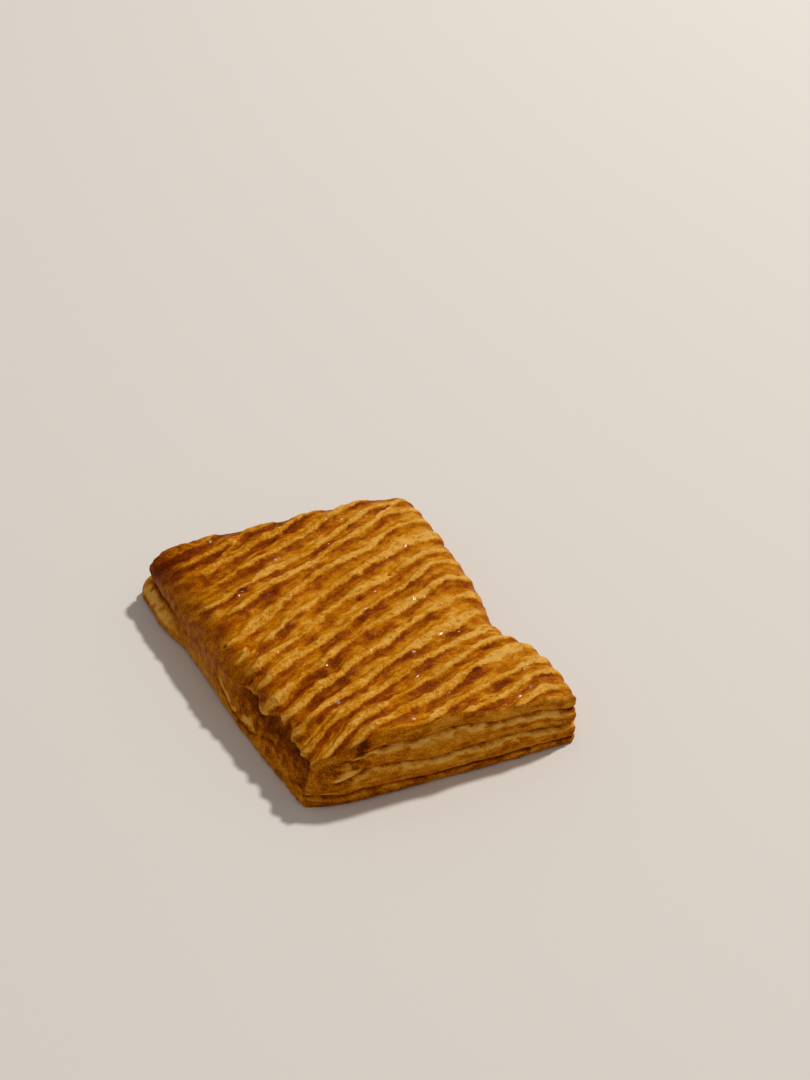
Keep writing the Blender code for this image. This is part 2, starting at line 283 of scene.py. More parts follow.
# How much darker, or below zero paler, each feature makes the part that it is on.
RIDGE_TONE = 0.06
LIP_EDGE_TONE = -0.3
HOLLOW_TONES = {
    "uneven": 0.13, "in_front": 0.14, "dark_patches": 0.15, "dimples": -0.04, "second_lines": -0.22,
}
# In the crust, the darkening in the blister holes is painted shade.
CRUST_TONES = {
    "right_half": -0.11, "left_shoulder": -0.16, "dark_marks": 0.25, "pale_marks": -0.4, "holes": 0.5,
    "rims": -0.22, "pits": 0.2, "wrinkles": 0.05,
}
# On the rolled sides, the darkening at the back corner is painted shade.
ROLL_TONES = {"back_corner": 0.25, "foot": -0.26, "rough": 0.05, "folds": -0.05}
# On the cut ends and sides, the darkening in the cracks, the curl's groove and fold and the slot, on the left
# wall and under the lip is painted shade.
END_TONES = {
    "leaves": 0.09, "flakes": -0.42, "cracks": 0.36, "lowest_layer": 0.12, "right_corner": 0.08,
    "rough": 0.07, "folds": -0.1, "left_wall": 0.2, "under_lip": 0.2, "thin_sheet_crack": 0.25,
    "thin_sheet": -0.6, "curl": 0.1, "curl_edge": 0.24, "curl_fold": 0.26, "cream_spot": -0.9, "drip": 0.6,
    "slot": 0.45, "low_sheet": -0.75,
}
# Areas where the crust is darker: browner from baking, and painted shade at the back-left; how much, and
# where it starts and ends along x and along y.
BAKED_AREAS = (
    (0.12, (-25, -62), (-30, 20)),
    (0.24, (40, -40), (36, 84)),
    (0.07, (30, 0), (-10, -50)),
    (0.22, (-50, -62), (55, 75)),
)

# Grains of the surface: how far apart the bumps are along each axis, the seed, and the octaves.
EDGE_GRAIN = ((4.5, 2.4, 1), 60, 3)
DEPTH_GRAIN = ((22, 8, 1), 61, 1)
WAVE_GRAIN = ((7, 3.4, 1), 62, 2)
SHIFT_GRAIN = ((13, 8, 1), 64, 1)
BREAK_GRAIN = ((8, 5, 1), 65, 1)
SECOND_LINE_GRAIN = ((18, 5, 1), 66, 1)
RAGGED_GRAIN = ((9, 1, 60), 70, 1)
CRACK_GRAIN = ((4, 1, 60), 71, 2)
LIP_GRAIN = ((3, 3, 60), 75, 1)
SHEET_GRAIN = ((3, 3, 60), 76, 1)
SHEET_PATCH_GRAIN = ((3, 4, 2.4), 79, 3)
CURL_GRAIN = ((4, 60, 4), 77, 1)
CREAM_GRAIN = ((2.4, 60, 1.6), 78, 1)
BLISTER_GRAIN = ((1.6, 1.6, 9), 80, 1)
PIT_GRAIN = ((2.2, 1.7, 1), 81, 1)
DOME_GRAIN = ((5, 3, 1), 82, 1)
WRINKLE_GRAIN = ((9, 1.5, 1), 83, 2)
LEAF_GRAIN = ((10, 1, 1.3), 84, 2)
FLAKE_GRAIN = ((3.4, 1, 1.8), 85, 3)
FOLD_GRAIN = ((2.2, 1.6, 14), 86, 2)
RIDGE_GRAIN = ((2.2, 1.6, 1), 87, 2)
ROUGH_GRAIN = ((3.0, 3.0, 2.4), 88, 3)
DIMPLE_GRAIN = ((3.2, 2.0, 1), 89, 2)
BAKED_GRAIN = ((9, 3.5, 1), 90, 3)
CORNER_GRAIN = ((9, 1, 2.6), 91, 2)
RIDGE_BAKED_GRAIN = ((7, 3, 1), 92, 2)
SPECKLE_GRAIN = ((2.0, 1.3, 1), 95, 2)
GRAIN_LATTICE = 32
GRAIN_HEIGHT = 1.7

# Cells of the surface, more crowded at its edges, and its levels, more crowded at the cracks.
TINY = 1e-6
COLUMNS = 172
ROWS = 252
LEVEL_COUNT = 54
CROWDING = 0.25
LEVEL_CROWDING = 2.0
LEVEL_CROWDING_HALF = 0.045
LEVEL_STEPS = 1001

# The finish: how its streaks are stretched, how fine its noises are, and how sharp the ridges' edges.
FLOW_STRETCH = (0.35, 1, 1)
STRATA_APART = 40
STREAK_SCALE = 0.55
SPECK_SCALE = 1500.0
BLOTCH_SCALE = 260.0
STIPPLE_SCALE = 620.0
RIDGE_HALF = 0.09
RIDGE_EDGE = 0.17
EDGE_SHARPNESS = 2.2
DRY_ROUGHNESS = 0.85
WASH_SMOOTHING = 0.62
BUMP_DISTANCE = 0.0008
COLOUR_MIX_INPUTS = (0, 6, 7)
COLOUR_MIX_OUTPUT = 2
# Colours from the palest dough to the darkest, as (place, colour).
CRUST_STOPS = (
    (0.0, (0.81, 0.45, 0.09)),
    (0.14, (0.71, 0.325, 0.034)),
    (0.32, (0.6, 0.226, 0.001)),
    (0.5, (0.45, 0.13, 0.0002)),
    (0.7, (0.28, 0.053, 0.0001)),
    (1.0, (0.12, 0.014, 0.0001)),
)
LAYER_STOPS = (
    (0.0, (0.88, 0.5, 0.11)),
    (0.2, (0.78, 0.36, 0.035)),
    (0.5, (0.56, 0.18, 0.002)),
    (0.75, (0.27, 0.06, 0.0003)),
    (1.0, (0.09, 0.014, 0.0002)),
)

FLOOR_COLOUR = (0.78, 0.775, 0.79, 1.0)
FLOOR_SIZE = 4.0

LAMP_COLOUR = (1.0, 0.94, 0.84)
LAMP_POWER = 170.0
LAMP_SIZE = 0.42
LAMP_DISTANCE = 5.0
LAMP_DIRECTION = (0.73, 0.23, 1.0)
SKY_COLOUR = (1.0, 0.88, 0.75, 1.0)
SKY_STRENGTH = 0.34
MIRRORED_STRENGTH = 0.05

CAMERA_PLACE = (-0.2472, -0.5021, 0.4334)
CAMERA_RIGHT = (0.8928, -0.4483, 0.0431)
CAMERA_UP = (0.2155, 0.5092, 0.8333)
LENS_MM = 54.07
SENSOR_MM = 36.0
NEAREST_SEEN = 0.01


def curve_through(stations, at):
    """Values at the given places of a smooth curve through (place, value) pairs."""
    places, values = np.array(stations, float).T
    slopes = np.gradient(values, places)
    at = np.clip(at, places[0], places[-1])
    left = np.clip(np.searchsorted(places, at) - 1, 0, len(places) - 2)
    span = places[left + 1] - places[left]
    t = (at - places[left]) / span
    rise = values[left + 1] - values[left]
    bend_in = slopes[left] * span - rise
    bend_out = rise - slopes[left + 1] * span
    return values[left] + t * rise + t * (1 - t) * ((1 - t) * bend_in + t * bend_out)


def ease(start, end, value):
    """A smooth step from 0 at start to 1 at end."""
    t = np.clip((value - start) / (end - start), 0.0, 1.0)
    return t * t * (3 - 2 * t)


def waves(x, y, length, seed, count=14):
    """An uneven field of about unit height, whose bumps are about `length` apart."""
    rng = np.random.default_rng(seed)
    total = np.zeros_like(x)
    for _ in range(count):
        angle, phase = rng.uniform(0, 2 * math.pi, 2)
        turn = 2 * math.pi / (length * rng.uniform(0.75, 1.5))
        total += np.cos(turn * (x * math.cos(angle) + y * math.sin(angle)) + phase)
    return total / math.sqrt(count / 2)


def crumb(points, grain):
    """Uneven 3-D noise of about unit height, of the given grain."""
    size, seed, octaves = grain
    total = np.zeros(len(points))
    for octave in range(octaves):
        rng = np.random.default_rng(seed + octave)
        lattice = rng.uniform(-GRAIN_HEIGHT, GRAIN_HEIGHT, (GRAIN_LATTICE,) * 3)
        place = points / np.array(size) * 2**octave
        base = np.floor(place).astype(int)
        part = place - base
        part = part * part * (3 - 2 * part)
        for corner in itertools.product((0, 1), repeat=3):
            weight = np.prod(np.where(corner, part, 1 - part), axis=1)
            i, j, k = ((base + corner) % GRAIN_LATTICE).T
            total += weight * lattice[i, j, k] / 2**octave
    return total


def box_cells():
    """A box cut into cells, as a mesh: x and y from -1 to 1, z from 0 to 1, one face inside the base."""
    bm = bmesh.new()
    bmesh.ops.create_cube(bm, size=2.0)
    fine = np.linspace(0, 1, LEVEL_STEPS)
    near_cracks = sum(np.exp(-(((fine - crack) / LEVEL_CROWDING_HALF) ** 2)) for crack in CRACKS)
    crowd = 1 + LEVEL_CROWDING * near_cracks
    counted = np.cumsum(crowd) - crowd[0]
    levels = np.interp(np.linspace(0, 1, LEVEL_COUNT + 1), counted / counted[-1], fine)
    for axis, cells in enumerate((COLUMNS, ROWS, LEVEL_COUNT)):
        along = [e for e in bm.edges if abs(e.verts[0].co[axis] - e.verts[1].co[axis]) > 1]
        bmesh.ops.subdivide_edges(bm, edges=along, cuts=cells - 1, use_grid_fill=True)
    inside = {v for v in bm.verts if v.co.z < -1 + TINY and max(abs(v.co.x), abs(v.co.y)) < 1 - TINY}
    base = [f for f in bm.faces if inside.issuperset(f.verts)]
    bmesh.ops.dissolve_faces(bm, faces=base, use_verts=True)
    for vert in bm.verts:
        vert.co.z = levels[round((vert.co.z + 1) / 2 * LEVEL_COUNT)]
    mesh = bpy.data.meshes.new("pastry")
    bm.to_mesh(mesh)
    bm.free()
    return mesh


def top_height(x, y):
    """Height of the crust before its edges are rounded."""
    settled = SIDE_SETTLING * np.abs(x / SIDE_SETTLING_WIDTH) ** 3
    middle = THICKNESS - settled
    front = curve_through(FRONT_HEIGHT, x)
    back = BACK_HEIGHT - BACK_SETTLING_SHARE * settled
    height = middle + (front - middle) * (1 - ease(FRONT_Y, FRONT_Y + FRONT_RISE_LENGTH, y))
    height += (back - middle) * ease(BACK_Y - BACK_FALL_LENGTH, BACK_Y, y)
    beside_waist = np.exp(-(((y - WAIST_Y) / WAIST_LENGTH) ** 2))
    height -= WAIST_SETTLING * beside_waist * ease(WAIST_FROM_X, WAIST_TO_X, x)
    return height + SWELL * waves(x, y, SWELL_LENGTH, SWELL_SEED)


def split_rounding(place, low, high):
    """Splits places from -1 to 1 into the flat part and the turn, -1 to 1, within the rounded edges."""
    flat = np.clip(place, -1 + low, 1 - high)
    beyond = place - flat
    return flat, np.where(beyond < 0, beyond / low, beyond / high)


def roll_depth(across, along):
    """How deep the crust's edge rolls at each place, as a share of the thickness."""
    weights = (
        np.exp(-(across + 1) * HALF_WIDTH / BLEND_LENGTH),
        np.exp((across - 1) * HALF_WIDTH / BLEND_LENGTH),
        np.exp((along - 1) * HALF_LENGTH / BLEND_LENGTH),
        FRONT_BLEND_WEIGHT * np.exp(-(along + 1) * HALF_LENGTH / FRONT_BLEND_LENGTH),
    )
    depths = (LEFT_ROLL[1], RIGHT_ROLL[1], BACK_ROLL[1], FRONT_ROLL[1])
    return sum(weight * depth for weight, depth in zip(weights, depths)) / sum(weights) / THICKNESS


def smooth_form(cell):
    """Places the box's points on the slab with rounded edges, before any relief."""
    crowded = (1 - CROWDING) * cell[:, :2] + CROWDING * np.sin(cell[:, :2] * math.pi / 2)
    across, along = crowded.T
    above_foot = ease(0, FOOT_SHARE, cell[:, 2])
    left_roll, right_roll, back_roll = (
        FOOT_ROLL + above_foot * (roll[0] - FOOT_ROLL) for roll in (LEFT_ROLL, RIGHT_ROLL, BACK_ROLL)
    )
    left_roll, right_roll = left_roll / HALF_WIDTH, right_roll / HALF_WIDTH
    front_roll, back_roll = FRONT_ROLL[0] / HALF_LENGTH, back_roll / HALF_LENGTH
    bottom_roll, top_roll = 2 * BOTTOM_ROLL / THICKNESS, 2 * roll_depth(across, along)

    flat_x, turn_x = split_rounding(across, left_roll, right_roll)
    flat_y, turn_y = split_rounding(along, front_roll, back_roll)
    flat_z, turn_z = split_rounding(2 * cell[:, 2] - 1, bottom_roll, top_roll)
    reach = np.maximum(np.sqrt(turn_x**2 + turn_y**2 + turn_z**2), TINY)
    across = flat_x + turn_x / reach * np.where(turn_x < 0, left_roll, right_roll)
    along = flat_y + turn_y / reach * np.where(turn_y < 0, front_roll, back_roll)
    share = (1 + flat_z + turn_z / reach * np.where(turn_z < 0, bottom_roll, top_roll)) / 2
    inside_base = (cell[:, 2] < TINY) & (np.abs(cell[:, :2]).max(axis=1) < 1 - TINY)
    share = np.where(inside_base, 0.0, share)

    y = along * HALF_LENGTH
    left, right = curve_through(LEFT_SIDE, y), curve_through(RIGHT_SIDE, y)
    left += LEFT_LEAN * share * ease(LEFT_LEAN_FROM_Y, LEFT_LEAN_TO_Y, y)
    x = left + (across + 1) / 2 * (right - left)
    y += (1 - along) / 2 * curve_through(FRONT_END, x) + (1 + along) / 2 * curve_through(BACK_END, x)
    y -= along * END_LEAN * share
    return np.stack([x, y, share * top_height(x, y)], axis=1)


def ridge_phase(x, y):
    """Counts ridges towards the back: a whole number on each ridge, a half between two."""
    wander = sum(height * waves(x, y, length, seed) for height, length, seed in RIDGE_WANDER)
    lines = [curve_through(tuple(zip(RIDGE_STATIONS, row)), x) for row in RIDGES]
    return sum(np.clip((y - near) / (far - near), 0.0, 1.0) for near, far in zip(lines, lines[1:])) + wander


def near_marks(x, y, marks, width):
    """1 on the given short marks, fading away over `width` to each side."""
    nearest = np.full_like(x, 1e3)
    for mark in marks:
        for (start_x, start_y), (end_x, end_y) in zip(mark, mark[1:]):
            run_x, run_y = end_x - start_x, end_y - start_y
            t = np.clip(((x - start_x) * run_x + (y - start_y) * run_y) / (run_x**2 + run_y**2), 0, 1)
            nearest = np.minimum(nearest, np.hypot(x - start_x - t * run_x, y - start_y - t * run_y))
    return np.exp(-((nearest / width) ** 2))


def in_patches(x, y, patches):
    """1 inside the given patches, whose length runs along the ridges."""
    total = np.zeros_like(x)
    for at_x, at_y, half_length, half_width in patches:
        along = (x - at_x) * math.cos(RIDGE_TURN) + (y - at_y) * math.sin(RIDGE_TURN)
        across = (y - at_y) * math.cos(RIDGE_TURN) - (x - at_x) * math.sin(RIDGE_TURN)
        total = np.maximum(total, np.exp(-((along / half_length) ** 2) - (across / half_width) ** 2))
    return total


def within_layers(share):
    """How far up each layer a place is, from 0 below it to 1 above it, lowest layer first."""
    edges = (0.0, *CRACKS, 1.0)
    return [np.clip((share - low) / (high - low), 0, 1) for low, high in zip(edges, edges[1:])]


def layer_rise(x, share):
    """How much higher a place of a cut end lies when the cracks follow their own lines."""
    lines = [np.zeros_like(x), *(curve_through(line, x) for line in CRACK_LINES), np.ones_like(x)]
    followed = sum(
        within * (high - low) for within, low, high in zip(within_layers(share), lines, lines[1:])
    )
    return (followed - share) * top_height(x, np.full_like(x, FRONT_Y))


def toned(start, tones, **features):
    """A darkness, from browning and painted shade, with each feature added as strongly as its tone says."""
    return start + sum(tones[name] * feature for name, feature in features.items())


class Surface:
    """The pastry's surface as it is worked: its points, and what the finish needs to know of each."""

    def __init__(self, form, normal):
        self.form, self.normal = form, normal
        x, y, z = self.x, self.y, self.z = form.T
        self.share = z / top_height(x, y)
        level_part = np.linalg.norm(normal[:, :2], axis=1)
        self.sideways = normal[:, :2] / np.maximum(level_part, TINY)[:, None]
        side = (ease(*SIDE_TILT, level_part) * (z > TINY))[:, None]
        self.on_left, self.on_front = (np.clip(-self.sideways, 0, 1) ** 2 * side).T
        self.on_right, self.on_back = (np.clip(self.sideways, 0, 1) ** 2 * side).T
        self.crust_up = ease(*CRUST_TILT, normal[:, 2])
        self.phase = ridge_phase(x, y)
        along = x * math.cos(RIDGE_TURN) + y * math.sin(RIDGE_TURN)
        self.flow = np.stack([along, self.phase * RIDGE_PITCH, z * 0], axis=1)
        self.strata = np.stack([x + y, 0 * x, z], axis=1)
        self.find_ridges()
        # The layers show on the cut ends, except in the curl, and less on the sides next to them.
        self.layered = self.on_front * np.maximum(ease(-46, -36, x), ease(0.34, 0.24, self.share))
        self.layered += self.on_back + self.on_right * (0.35 + 0.65 * ease(-40, -78, y))
        self.layered += 0.8 * self.on_left * ease(-62, -78, y) * ease(0.36, 0.24, self.share)

    def find_ridges(self):
        """How far each place is off its ridge, in ridge distances, and how deep it lies in a hollow."""
        edge_noise = crumb(self.flow, EDGE_GRAIN)
        off_ridge = np.abs(self.phase - np.round(self.phase)) + EDGE_ROUGHNESS * edge_noise
        off_ridge += RIDGE_SHIFT * crumb(self.flow, SHIFT_GRAIN)
        broken = ease(0.9, 1.5, crumb(self.flow, BREAK_GRAIN))
        off_ridge += SLIPPED * in_patches(self.x, self.y, SMOOTH_PATCHES) + BROKEN * broken
        for amount, across, along in FAINT_AREAS:
            off_ridge += amount * ease(*across, self.x) * ease(*along, self.y)
        self.off_ridge = np.clip(off_ridge, 0, 0.5)
        between = self.phase % 1.0 - SECOND_LINE_PLACE - 0.05 * edge_noise
        shown = ease(0.5, 1.1, crumb(self.flow, SECOND_LINE_GRAIN))
        self.second_line = shown * np.exp(-((between / SECOND_LINE_HALF) ** 2))
        slope_behind, slope_in_front = ease(*GENTLE_SLOPE, self.off_ridge), ease(*STEEP_SLOPE, self.off_ridge)
        self.hollow = np.where(self.phase > np.round(self.phase), slope_behind, slope_in_front)

    def crust_relief(self):
        """The combed ridges, with a hollow that is steepest and deepest just in front of each."""
        depth = HOLLOW_DEPTH * (1 + DEPTH_CHANGE * crumb(self.flow, DEPTH_GRAIN))
        flattened = LIP_FLATTENING * ease(-48, -58, self.x) * ease(LIP_Y, LIP_Y - LIP_FADE, self.y)
        out = -depth * self.hollow * (1 - flattened)
        out += MARK_DEPTH * self.hollow * near_marks(self.x, self.y, PALE_MARKS, PALE_MARK_HALF)
        out -= MARK_DEPTH * near_marks(self.x, self.y, DARK_MARKS, DARK_MARK_HALF)
        out += CRUST_WAVE * crumb(self.flow, WAVE_GRAIN) + SECOND_LINE_HEIGHT * self.second_line
        return out

    def layer_relief(self):
        """The bulge of each layer and the crack between each two, on a cut end."""
        out = sum(LAYER_BULGE * 4 * within * (1 - within) for within in within_layers(self.share))
        ragged = 0.45 + 0.55 * ease(-1.2, 0.3, crumb(self.strata, RAGGED_GRAIN))
        self.off_crack = self.share + CRACK_WANDER * crumb(self.strata, CRACK_GRAIN)
        for crack, deep in zip(CRACKS, CRACK_DEPTH):
            out -= deep * ragged * np.exp(-(((self.off_crack - crack) / CRACK_HALF) ** 2))
        return out

    def lip_relief(self):
        """The lobed lip of the crust over the left side, and the recess under it."""
        edge = curve_through(LIP_SHARE, self.y) + LIP_SCALLOP * (self.hollow - 0.5)
        edge += LIP_RAGGEDNESS * crumb(self.form, LIP_GRAIN)
        above = self.share - edge
        lobes = LOBE_REACH * (0.6 - self.hollow) * np.exp(-(((above - LOBE_ABOVE) / LOBE_HALF) ** 2))
        under = 1 - ease(-LIP_UNDERCUT, 0, above)
        recess = LIP_RECESS * np.clip(self.share / edge, 0, 1) ** RECESS_POWER
        recess *= 0.4 + 0.6 * ease(FRONT_Y, -66, self.y)
        self.lip = ease(LIP_Y, LIP_Y - LIP_FADE, self.y)
        # The wall just under the lip is darkened in colour there as painted shade.
        self.under_lip = self.lip * under * self.on_left
        self.lip_edge = self.lip * self.on_left * np.exp(-(((above - LIP_EDGE_ABOVE) / LIP_EDGE_HALF) ** 2))
        return self.lip * (lobes * (1 - under) - recess * under)

    def thin_sheet_relief(self):
        """The edge of the thin sheet on the left side, a crack with the sheet standing out below it."""
        above = self.z - curve_through(SHEET_LINE, self.y) - 0.5 * crumb(self.form, SHEET_GRAIN)
        here = self.on_left * ease(-52, -44, self.y) * ease(1, -5, self.y)
        self.sheet_crack = here * np.exp(-((above / 0.55) ** 2))
        patchy = ease(-0.7, 0.5, crumb(self.form, SHEET_PATCH_GRAIN) + ease(-22, -12, self.y))
        self.sheet_pale = patchy * here * ease(-38, -28, self.y) * ease(0.2, 0.9, above) * ease(6.5, 3, above)
        return THIN_SHEET * (here * ease(0.3, -0.5, above) - self.sheet_crack)

    def curl_relief(self):
        """The rounded curl of dough at the left of the front cut."""
        off_x = (self.x - CURL_MIDDLE[0]) / CURL_HALF[0]
        off_z = (self.z - CURL_MIDDLE[1]) / CURL_HALF[1] - CURL_SLANT * off_x
        apart = np.hypot(off_x, off_z) * (1 + 0.08 * crumb(self.form, CURL_GRAIN))
        self.curl_edge = self.on_front * np.exp(-(((apart - 1.0) / CURL_EDGE_HALF) ** 2))
        fold = np.exp(-(((off_z - CURL_FOLD) / CURL_FOLD_HALF) ** 2))
        self.curl_fold = self.on_front * ease(0.8, 0.5, apart) * fold
        cream_x, cream_z = off_x - CREAM_MIDDLE[0], off_z - CREAM_MIDDLE[1]
        cream = (cream_x / CREAM_HALF[0]) ** 2 + ((cream_z - CREAM_SLANT * cream_x) / CREAM_HALF[1]) ** 2
        self.curl_pale = self.on_front * np.exp(-cream * (1.1 + 0.5 * crumb(self.form, CREAM_GRAIN)))
        self.in_curl = self.on_front * ease(1.15, 0.85, apart)
        bulge = CURL_BULGE * ease(1.1, 0.3, apart)
        bulge -= CURL_EDGE_DEPTH * self.curl_edge + CURL_FOLD_DEPTH * self.curl_fold
        return self.on_front * bulge

    def main_points(self):
        """The points with the ridges, cracks, overhang and low sheet, as on the solid but finer."""
        sheet = SHEET_REACH * ease(SHEET_TOP_SHARE, SHEET_EDGE_SHARE, self.share)
        sheet -= SLOT_DEPTH * np.exp(-(((self.share - SLOT_SHARE) / SLOT_HALF) ** 2))
        sheet *= ease(SHEET_FROM_Y, SHEET_TO_Y, self.y)
        out = self.crust_up * self.crust_relief()
        out += self.layered * self.layer_relief()
        out += self.on_left * self.lip_relief() + self.thin_sheet_relief() + self.curl_relief()
        out += (self.on_left + 0.5 * self.on_back * ease(-20, -50, self.x)) * sheet
        level_way = np.column_stack([self.sideways, np.zeros_like(self.x)])
        way = np.where(self.crust_up[:, None] > 0, self.normal, level_way)
        points = self.form + way * out[:, None]
        points[:, 2] += np.clip(self.layered, 0, 1) * layer_rise(self.x, self.share)
        return self.keep_above_base(points)

    def keep_above_base(self, points):
        points[:, 2] = np.where(self.z > TINY, np.maximum(points[:, 2], LOWEST_RELIEF), 0.0)
        return points

    def fine_points(self, points, normal):
        """The points with blisters, flaky edges, wrinkles and crumb."""
        out = self.crust_up * self.fine_crust() + (1 - self.crust_up) * self.fine_walls()
        out *= self.z > TINY
        return self.keep_above_base(points + normal * out[:, None])

    def find_blisters(self):
        """The rims and holes of the burst blisters."""
        uneven = 1 + 0.2 * crumb(self.form, BLISTER_GRAIN)
        self.rims, self.holes = np.zeros((2, len(self.x)))
        for at_x, at_y, radius in BLISTERS:
            apart = np.hypot(self.x - at_x, (self.y - at_y) * 1.4) * uneven / radius
            self.rims = np.maximum(self.rims, np.exp(-(((apart - 0.8) / 0.45) ** 2)))
            self.holes = np.maximum(self.holes, np.exp(-((apart / 0.45) ** 2)))

    def fine_crust(self):
        """How much higher the crust lies for blisters, pits, wrinkles and drops of egg wash."""
        self.find_blisters()
        on_ridge = 1 - ease(0.14, 0.26, self.off_ridge)
        self.pits = ease(1.0, 1.9, crumb(self.flow, PIT_GRAIN)) * on_ridge * self.crust_up
        domes = ease(0.9, 1.8, crumb(self.flow, DOME_GRAIN))
        self.wrinkles = crumb(self.flow, WRINKLE_GRAIN)
        self.dimples = (1 - on_ridge) * crumb(self.flow, DIMPLE_GRAIN)
        out = RIM_HEIGHT * self.rims - HOLE_DEPTH * self.holes - PIT_DEPTH * self.pits + DOME_HEIGHT * domes
        out += WRINKLE_HEIGHT * self.wrinkles * (1 - 0.5 * on_ridge)
        out += RIDGE_ROUGHNESS * on_ridge * crumb(self.flow, RIDGE_GRAIN)
        out += DIMPLE_HEIGHT * self.dimples + DROP_HEIGHT * in_patches(self.x, self.y, GLOSS_SPOTS)
        return out

    def fine_walls(self):
        """How much further the sides and cut ends stand out for leaves, flakes, folds and crumb."""
        self.leaves = crumb(self.strata, LEAF_GRAIN)
        below_crack = np.zeros_like(self.x)
        for within, strength in zip(within_layers(self.share), FLAKY_LAYERS):
            below_crack += strength * ease(0.55, 0.8, within) * (within < 0.999)
        flakes = np.clip(crumb(self.strata, FLAKE_GRAIN), -1.5, 1.3)
        self.flaky = self.layered * below_crack * ease(-1.0, 0.1, flakes)
        self.rough = crumb(self.form, ROUGH_GRAIN)
        out = LEAF_HEIGHT * self.leaves * (1 - self.on_left)
        out += FLAKE_HEIGHT * self.flaky * np.maximum(flakes, -0.5)
        out += self.rough * (WALL_ROUGHNESS + RECESS_ROUGHNESS * self.under_lip)
        corner = 2 * np.sqrt(self.on_left * self.on_front)
        out += corner * (CORNER_ROUGHNESS * crumb(self.strata, CORNER_GRAIN) - CORNER_WEAR)
        folds = crumb(self.form, FOLD_GRAIN)
        self.folds = folds * (1 - self.layered) * (self.on_left + self.on_right) * (1 - 0.8 * self.lip)
        out += FOLD_HEIGHT * self.folds * (1 - 0.6 * self.on_left - 0.6 * self.on_right)
        return out

    def baked_crust(self):
        """How dark the hollows and rolled sides of the crust are, from 0, pale, to 1, darkest: browning, with
        painted shade at the back-left and in the blister holes.
        """
        x, y = self.x, self.y
        patches = [(at_x, at_y, size * 1.4, size * 0.6) for at_x, at_y, size in DARK_PATCHES]
        bake = toned(
            HOLLOW_BAKE, HOLLOW_TONES,
            uneven=crumb(self.flow, BAKED_GRAIN),
            in_front=np.cos(2 * math.pi * (self.phase % 1.0 - DARKEST_PHASE)),
            dark_patches=in_patches(x, y, patches),
            dimples=self.dimples,
            second_lines=self.second_line,
        )
        self.ridge_bake = RIDGE_BAKE + RIDGE_TONE * crumb(self.flow, RIDGE_BAKED_GRAIN) - bake
        # The darker areas at the back-left are painted shade.
        for amount, across, along in BAKED_AREAS:
            bake += amount * ease(*across, x) * ease(*along, y)
        bake = toned(
            bake, CRUST_TONES,
            right_half=ease(15, 60, x),
            left_shoulder=ease(-44, -56, x) * ease(-30, -8, y) * ease(58, 36, y),
            dark_marks=near_marks(x, y, DARK_MARKS, DARK_COLOUR_HALF),
            pale_marks=near_marks(x, y, PALE_MARKS, PALE_COLOUR_HALF),
            # painted shade in the blister holes
            holes=self.crust_up * self.holes,
            rims=self.crust_up * self.rims,
            pits=self.pits,
            wrinkles=self.wrinkles,
        )
        rolled_bake = toned(
            ROLL_BAKE, ROLL_TONES,
            # painted shade at the back corner of the rolled sides
            back_corner=ease(50, 74, y),
            foot=ease(0.55, 0.1, self.share),
            rough=self.rough,
            folds=self.folds,
        )
        rolled = self.on_left * (1 - self.lip) + 0.6 * self.on_right
        bake += rolled * (rolled_bake - bake)
        self.ridge_bake *= np.clip(1 - rolled, 0, 1)
        return np.clip(bake + LIP_EDGE_TONE * self.lip_edge, 0, 1)

    def baked_ends(self):
        """How dark the cut ends and the wall under the lip are, from 0, pale, to 1, darkest: browning, with
        painted shade in the cracks, the curl's groove and fold, the slot, on the left wall and under the lip.
        """
        # Painted shade in the cracks between the layers.
        cracks = sum(np.exp(-(((self.off_crack - crack) / DARK_CRACK_HALF) ** 2)) for crack in CRACKS)
        off_drip = self.x - DRIP_END[0] - DRIP_SLANT * (self.z - DRIP_END[1])
        drip = np.exp(-((off_drip / DRIP_HALF) ** 2)) * ease(DRIP_END[1], DRIP_END[1] + DRIP_FADE, self.z)
        by_sheet = self.on_left * ease(SHEET_FROM_Y, SHEET_TO_Y, self.y)
        self.sheet_top = by_sheet * ease(0.13, 0.21, self.share) * ease(0.37, 0.29, self.share)
        # Painted shade in the slot under the crust's overhang.
        self.slot = by_sheet * np.exp(-(((self.share - SLOT_SHARE) / DARK_SLOT_HALF) ** 2))
        bake = toned(
            END_BAKE, END_TONES,
            leaves=self.leaves * (1 - self.on_left),
            flakes=self.flaky,
            # painted shade in the cracks
            cracks=self.layered * cracks,
            lowest_layer=self.layered * (self.share < CRACKS[0]),
            right_corner=ease(40, 64, self.x),
            rough=self.rough,
            folds=self.folds,
            # painted shade: the left wall is darker above its foot
            left_wall=self.on_left * ease(0.1, 0.4, self.share + 0.08 * self.rough),
            # painted shade under the lip
            under_lip=self.under_lip * ease(0.4, 0.75, self.share),
            # painted shade in the crack above the thin sheet
            thin_sheet_crack=self.sheet_crack,
            thin_sheet=self.sheet_pale,
            curl=self.in_curl,
            # painted shade in the groove round the curl and in its fold
            curl_edge=self.curl_edge,
            curl_fold=self.curl_fold,
            cream_spot=self.curl_pale,
            drip=self.on_front * drip,
            # painted shade in the slot
            slot=self.slot,
            low_sheet=self.sheet_top * ease(-1.0, 0.3, self.rough),
        )
        return np.clip(bake, 0, 1)

    def crust_share(self):
        """1 where the egg-washed crust shows and 0 on the cut ends and below the lip."""
        on_roll = self.on_left * (1 - self.under_lip) * (1 - self.lip * ease(0.6, 0.4, self.share))
        on_roll += self.on_right * ease(0.5, 0.75, self.share) + self.on_back * ease(0.75, 0.9, self.share)
        on_roll *= (1 - self.sheet_top) * (1 - self.slot) * (1 - self.sheet_pale) * (1 - self.sheet_crack)
        return np.clip(np.maximum(self.crust_up, on_roll), 0, 1)

